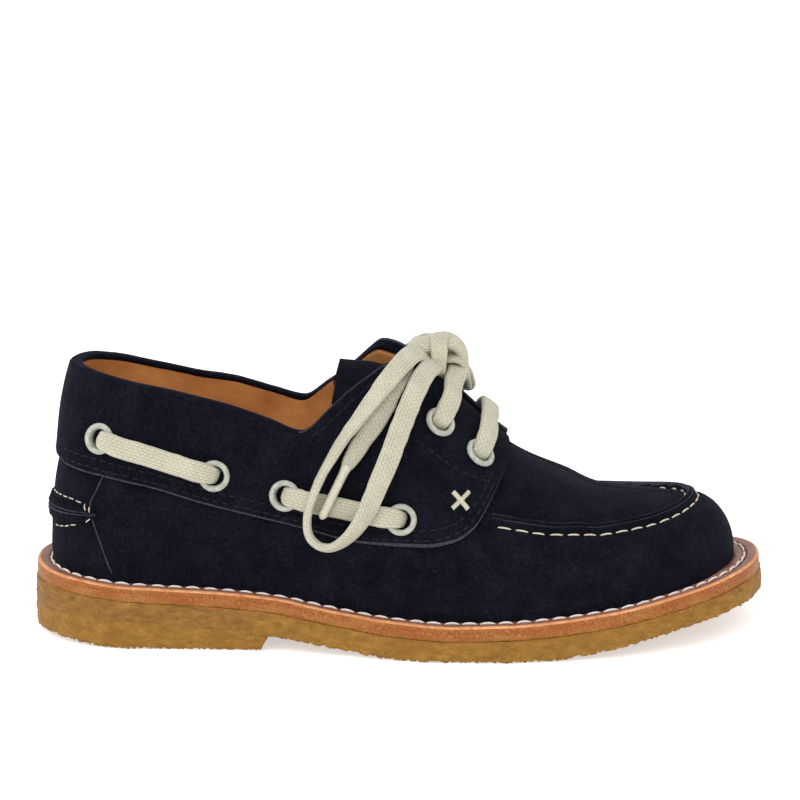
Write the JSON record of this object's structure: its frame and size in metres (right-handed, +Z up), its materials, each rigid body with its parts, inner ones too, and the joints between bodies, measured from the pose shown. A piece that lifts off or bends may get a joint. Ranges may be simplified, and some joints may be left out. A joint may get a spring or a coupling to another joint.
{
  "type": "boat shoe",
  "caption": "Child's right boat shoe in navy suede: moccasin toe, lace threaded through side eyelets, stitched leather welt and amber crepe rubber sole with a low heel lift.",
  "frame": {"origin": "middle of the footprint on the floor under the soles", "axes": "+X from heel to toe, +Y to the medial side, +Z up"},
  "size_m": [0.2146, 0.0921, 0.0881],
  "materials": {
    "suede": "matte navy suede with a short nap",
    "welt_leather": "reddish brown welt leather, satin",
    "midsole_leather": "raw leather edge, reddish tan, grained",
    "insole_leather": "smooth tan lining leather, satin",
    "crepe": "amber crepe rubber, matte, crumbly edge",
    "eyelet_metal": "matte grey-ivory enamel",
    "lace_cotton": "ecru flat braided cotton",
    "aglet_wrap": "wound thread over the lace tip"
  },
  "bodies": {
    "root": {"outsole": "crepe", "heel_lift": "crepe", "midsole": "midsole_leather", "welt": "welt_leather", "insole": "insole_leather", "upper": "suede", "collar_panel": "suede", "tongue": "suede", "heel_seam": "suede", "eyelet_lateral_heel": "eyelet_metal", "eyelet_lateral_rear": "eyelet_metal", "eyelet_lateral_waist": "eyelet_metal", "eyelet_lateral_ball": "eyelet_metal", "eyelet_lateral_top": "eyelet_metal", "eyelet_lateral_front": "eyelet_metal", "lace_bar_lateral_rear": "lace_cotton", "lace_bar_lateral_waist": "lace_cotton", "eyelet_medial_heel": "eyelet_metal", "eyelet_medial_rear": "eyelet_metal", "eyelet_medial_waist": "eyelet_metal", "eyelet_medial_ball": "eyelet_metal", "eyelet_medial_top": "eyelet_metal", "eyelet_medial_front": "eyelet_metal", "lace_bar_medial_rear": "lace_cotton", "lace_bar_medial_waist": "lace_cotton", "lace_cross_bar": "lace_cotton", "lace_riser_lateral": "lace_cotton", "lace_riser_medial": "lace_cotton", "lace_knot": "lace_cotton", "lace_loop_lateral": "lace_cotton", "lace_loop_medial": "lace_cotton", "lace_end_lateral": "lace_cotton", "lace_end_medial": "lace_cotton", "aglet_lateral": "aglet_wrap", "aglet_medial": "aglet_wrap"}
  },
  "joints": []
}
